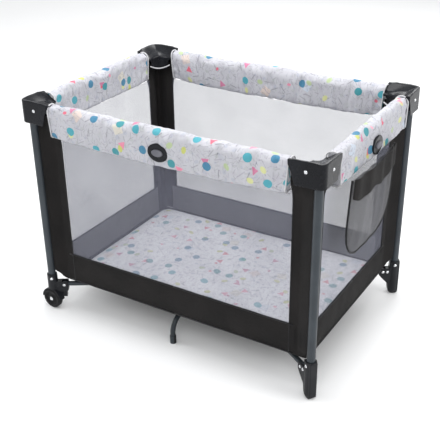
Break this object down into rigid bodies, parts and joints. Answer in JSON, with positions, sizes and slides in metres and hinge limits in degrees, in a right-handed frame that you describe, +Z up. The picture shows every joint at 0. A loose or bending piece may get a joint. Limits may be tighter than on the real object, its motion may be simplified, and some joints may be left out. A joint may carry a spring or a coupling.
{
  "type": "playpen",
  "caption": "Folding travel playpen with padded top rails, mesh sides, a fabric floor with a mattress pad, a centre hub, latches and a side pocket.",
  "frame": {"origin": "on the floor, under the middle of the frame", "axes": "+X along the length towards the end with the pocket and feet, +Y towards the back, +Z up"},
  "size_m": [1.0395, 0.714, 0.745],
  "materials": {
    "tube": "satin",
    "plastic": "satin",
    "rivet": "satin",
    "dark_fabric": "matte",
    "mesh": "matte",
    "print": "matte",
    "button": "satin",
    "wheel": "satin"
  },
  "bodies": {
    "leg_front_right": {"leg_tube_front_right": "tube", "corner_cap_front_right": "plastic", "foot_front_right": "plastic", "rivets_front_right": "rivet", "dark_fabric_front_right": "dark_fabric", "mesh_front_right": "mesh"},
    "leg_back_right": {"leg_tube_back_right": "tube", "corner_cap_back_right": "plastic", "foot_back_right": "plastic", "rivets_back_right": "rivet", "dark_fabric_back_right": "dark_fabric", "mesh_back_right": "mesh"},
    "leg_front_left": {"leg_tube_front_left": "tube", "corner_cap_front_left": "plastic", "wheel_bracket_front_left": "plastic", "rivets_front_left": "rivet", "dark_fabric_front_left": "dark_fabric", "mesh_front_left": "mesh"},
    "leg_back_left": {"leg_tube_back_left": "tube", "corner_cap_back_left": "plastic", "wheel_bracket_back_left": "plastic", "rivets_back_left": "rivet", "dark_fabric_back_left": "dark_fabric", "mesh_back_left": "mesh"},
    "base_front_right": {"base_tube_front_right": "tube"},
    "hub": {"hub": "plastic"},
    "base_back_right": {"base_tube_back_right": "tube"},
    "base_front_left": {"base_tube_front_left": "tube"},
    "base_back_left": {"base_tube_back_left": "tube"},
    "rail_front_right": {"rail_front_right": "tube", "rail_cover_front_right": "print"},
    "rail_right_front": {"rail_right_front": "tube", "rail_cover_right_front": "print"},
    "rail_back_right": {"rail_back_right": "tube", "rail_cover_back_right": "print"},
    "rail_right_back": {"rail_right_back": "tube", "rail_cover_right_back": "print"},
    "rail_front_left": {"rail_front_left": "tube", "rail_cover_front_left": "print"},
    "rail_left_front": {"rail_left_front": "tube", "rail_cover_left_front": "print"},
    "rail_back_left": {"rail_back_left": "tube", "rail_cover_back_left": "print"},
    "rail_left_back": {"rail_left_back": "tube", "rail_cover_left_back": "print"},
    "latch_front": {"latch_front": "plastic"},
    "button_front": {"latch_button_front": "button"},
    "latch_back": {"latch_back": "plastic"},
    "button_back": {"latch_button_back": "button"},
    "latch_right": {"latch_right": "plastic", "pocket": "dark_fabric"},
    "button_right": {"latch_button_right": "button"},
    "latch_left": {"latch_left": "plastic"},
    "button_left": {"latch_button_left": "button"},
    "centre_leg_front": {"centre_leg_front": "tube"},
    "wheel_front": {"wheel_front_left": "wheel"},
    "centre_leg_back": {"centre_leg_back": "tube"},
    "wheel_back": {"wheel_back_left": "wheel"},
    "handle": {"hub_handle": "plastic"},
    "mattress": {"mattress": "print"}
  },
  "joints": [
    {"name": "fold", "type": "hinge", "parent": "leg_front_right", "child": "base_front_right", "pos_m": [0.44296, -0.30457, 0.084], "axis": [0.5377, 0.8432, 0], "range_deg": [0, 85], "deforming": ["dark_fabric_front_right", "mesh_front_right", "dark_fabric_back_right", "mesh_back_right", "dark_fabric_front_left", "mesh_front_left", "dark_fabric_back_left", "mesh_back_left", "rail_cover_front_right", "rail_cover_front_left", "rail_cover_back_right", "rail_cover_back_left", "rail_cover_right_front", "rail_cover_left_front", "rail_cover_right_back", "rail_cover_left_back", "mattress", "pocket"]},
    {"name": "hub_pivot", "type": "hinge", "parent": "base_front_right", "child": "hub", "pos_m": [0.02896, -0.04057, 0.084], "axis": [0.5377, 0.8432, 0], "range_deg": [-85, 0]},
    {"name": "base_pivot_back_right", "type": "hinge", "parent": "hub", "child": "base_back_right", "pos_m": [0.02896, 0.04057, 0.084], "axis": [-0.5377, 0.8432, 0], "range_deg": [0, 85]},
    {"name": "leg_pivot_back_right", "type": "hinge", "parent": "base_back_right", "child": "leg_back_right", "pos_m": [0.44296, 0.30457, 0.084], "axis": [-0.5377, 0.8432, 0], "range_deg": [-85, 0]},
    {"name": "base_pivot_front_left", "type": "hinge", "parent": "hub", "child": "base_front_left", "pos_m": [-0.02896, -0.04057, 0.084], "axis": [0.5377, -0.8432, 0], "range_deg": [0, 85]},
    {"name": "leg_pivot_front_left", "type": "hinge", "parent": "base_front_left", "child": "leg_front_left", "pos_m": [-0.44296, -0.30457, 0.084], "axis": [0.5377, -0.8432, 0], "range_deg": [-85, 0]},
    {"name": "base_pivot_back_left", "type": "hinge", "parent": "hub", "child": "base_back_left", "pos_m": [-0.02896, 0.04057, 0.084], "axis": [-0.5377, -0.8432, 0], "range_deg": [0, 85]},
    {"name": "leg_pivot_back_left", "type": "hinge", "parent": "base_back_left", "child": "leg_back_left", "pos_m": [-0.44296, 0.30457, 0.084], "axis": [-0.5377, -0.8432, 0], "range_deg": [-85, 0]},
    {"name": "rail_front_right_pivot", "type": "hinge", "parent": "leg_front_right", "child": "rail_front_right", "pos_m": [0.447, -0.325, 0.705], "axis": [0, -1, 0], "range_deg": [0, 85]},
    {"name": "rail_right_front_pivot", "type": "hinge", "parent": "leg_front_right", "child": "rail_right_front", "pos_m": [0.475, -0.297, 0.705], "axis": [-1, 0, 0], "range_deg": [0, 85]},
    {"name": "rail_back_right_pivot", "type": "hinge", "parent": "leg_back_right", "child": "rail_back_right", "pos_m": [0.447, 0.325, 0.705], "axis": [0, -1, 0], "range_deg": [0, 85]},
    {"name": "rail_right_back_pivot", "type": "hinge", "parent": "leg_back_right", "child": "rail_right_back", "pos_m": [0.475, 0.297, 0.705], "axis": [1, 0, 0], "range_deg": [0, 85]},
    {"name": "rail_front_left_pivot", "type": "hinge", "parent": "leg_front_left", "child": "rail_front_left", "pos_m": [-0.447, -0.325, 0.705], "axis": [0, 1, 0], "range_deg": [0, 85]},
    {"name": "rail_left_front_pivot", "type": "hinge", "parent": "leg_front_left", "child": "rail_left_front", "pos_m": [-0.475, -0.297, 0.705], "axis": [-1, 0, 0], "range_deg": [0, 85]},
    {"name": "rail_back_left_pivot", "type": "hinge", "parent": "leg_back_left", "child": "rail_back_left", "pos_m": [-0.447, 0.325, 0.705], "axis": [0, 1, 0], "range_deg": [0, 85]},
    {"name": "rail_left_back_pivot", "type": "hinge", "parent": "leg_back_left", "child": "rail_left_back", "pos_m": [-0.475, 0.297, 0.705], "axis": [1, 0, 0], "range_deg": [0, 85]},
    {"name": "latch_front_pivot", "type": "hinge", "parent": "rail_front_right", "child": "latch_front", "pos_m": [0.033, -0.325, 0.705], "axis": [0, -1, 0], "range_deg": [-85, 0]},
    {"name": "button_front_press", "type": "slide", "parent": "latch_front", "child": "button_front", "axis": [0, 1, 0], "range_m": [0, 0.006], "stiffness_N_per_m": 500},
    {"name": "latch_back_pivot", "type": "hinge", "parent": "rail_back_right", "child": "latch_back", "pos_m": [0.033, 0.325, 0.705], "axis": [0, -1, 0], "range_deg": [-85, 0]},
    {"name": "button_back_press", "type": "slide", "parent": "latch_back", "child": "button_back", "axis": [0, -1, 0], "range_m": [0, 0.006], "stiffness_N_per_m": 500},
    {"name": "latch_right_pivot", "type": "hinge", "parent": "rail_right_front", "child": "latch_right", "pos_m": [0.475, -0.033, 0.705], "axis": [-1, 0, 0], "range_deg": [-85, 0]},
    {"name": "button_right_press", "type": "slide", "parent": "latch_right", "child": "button_right", "axis": [-1, 0, 0], "range_m": [0, 0.006], "stiffness_N_per_m": 500},
    {"name": "latch_left_pivot", "type": "hinge", "parent": "rail_left_front", "child": "latch_left", "pos_m": [-0.475, -0.033, 0.705], "axis": [-1, 0, 0], "range_deg": [-85, 0]},
    {"name": "button_left_press", "type": "slide", "parent": "latch_left", "child": "button_left", "axis": [1, 0, 0], "range_m": [0, 0.006], "stiffness_N_per_m": 500},
    {"name": "centre_leg_front_pivot", "type": "hinge", "parent": "hub", "child": "centre_leg_front", "pos_m": [-0.01, -0.06, 0.084], "axis": [1, 0, 0], "range_deg": [0, 85]},
    {"name": "wheel_front_spin", "type": "hinge", "parent": "leg_front_left", "child": "wheel_front", "pos_m": [-0.475, -0.325, 0.034], "axis": [0, 1, 0], "continuous": true},
    {"name": "centre_leg_back_pivot", "type": "hinge", "parent": "hub", "child": "centre_leg_back", "pos_m": [0.01, 0.06, 0.084], "axis": [-1, 0, 0], "range_deg": [0, 85]},
    {"name": "wheel_back_spin", "type": "hinge", "parent": "leg_back_left", "child": "wheel_back", "pos_m": [-0.475, 0.325, 0.034], "axis": [0, 1, 0], "continuous": true},
    {"name": "handle_turn", "type": "hinge", "parent": "hub", "child": "handle", "pos_m": [0, 0, 0.084], "axis": [0, 0, 1], "range_deg": [0, 90]},
    {"name": "mattress_lift", "type": "slide", "parent": "hub", "child": "mattress", "axis": [0, 0, 1], "range_m": [0, 0.15627]}
  ],
  "couplings": [
    {"joint": "hub_pivot", "follows": "fold", "ratio": -1},
    {"joint": "base_pivot_back_right", "follows": "fold", "ratio": 1},
    {"joint": "leg_pivot_back_right", "follows": "fold", "ratio": -1},
    {"joint": "base_pivot_front_left", "follows": "fold", "ratio": 1},
    {"joint": "leg_pivot_front_left", "follows": "fold", "ratio": -1},
    {"joint": "base_pivot_back_left", "follows": "fold", "ratio": 1},
    {"joint": "leg_pivot_back_left", "follows": "fold", "ratio": -1},
    {"joint": "rail_front_right_pivot", "follows": "fold", "ratio": 1},
    {"joint": "rail_right_front_pivot", "follows": "fold", "ratio": 1},
    {"joint": "rail_back_right_pivot", "follows": "fold", "ratio": 1},
    {"joint": "rail_right_back_pivot", "follows": "fold", "ratio": 1},
    {"joint": "rail_front_left_pivot", "follows": "fold", "ratio": 1},
    {"joint": "rail_left_front_pivot", "follows": "fold", "ratio": 1},
    {"joint": "rail_back_left_pivot", "follows": "fold", "ratio": 1},
    {"joint": "rail_left_back_pivot", "follows": "fold", "ratio": 1},
    {"joint": "latch_front_pivot", "follows": "fold", "ratio": -1},
    {"joint": "latch_back_pivot", "follows": "fold", "ratio": -1},
    {"joint": "latch_right_pivot", "follows": "fold", "ratio": -1},
    {"joint": "latch_left_pivot", "follows": "fold", "ratio": -1},
    {"joint": "centre_leg_front_pivot", "follows": "fold", "ratio": 1},
    {"joint": "centre_leg_back_pivot", "follows": "fold", "ratio": 1},
    {"joint": "mattress_lift", "follows": "fold", "m_per_rad": 0.10533}
  ]
}
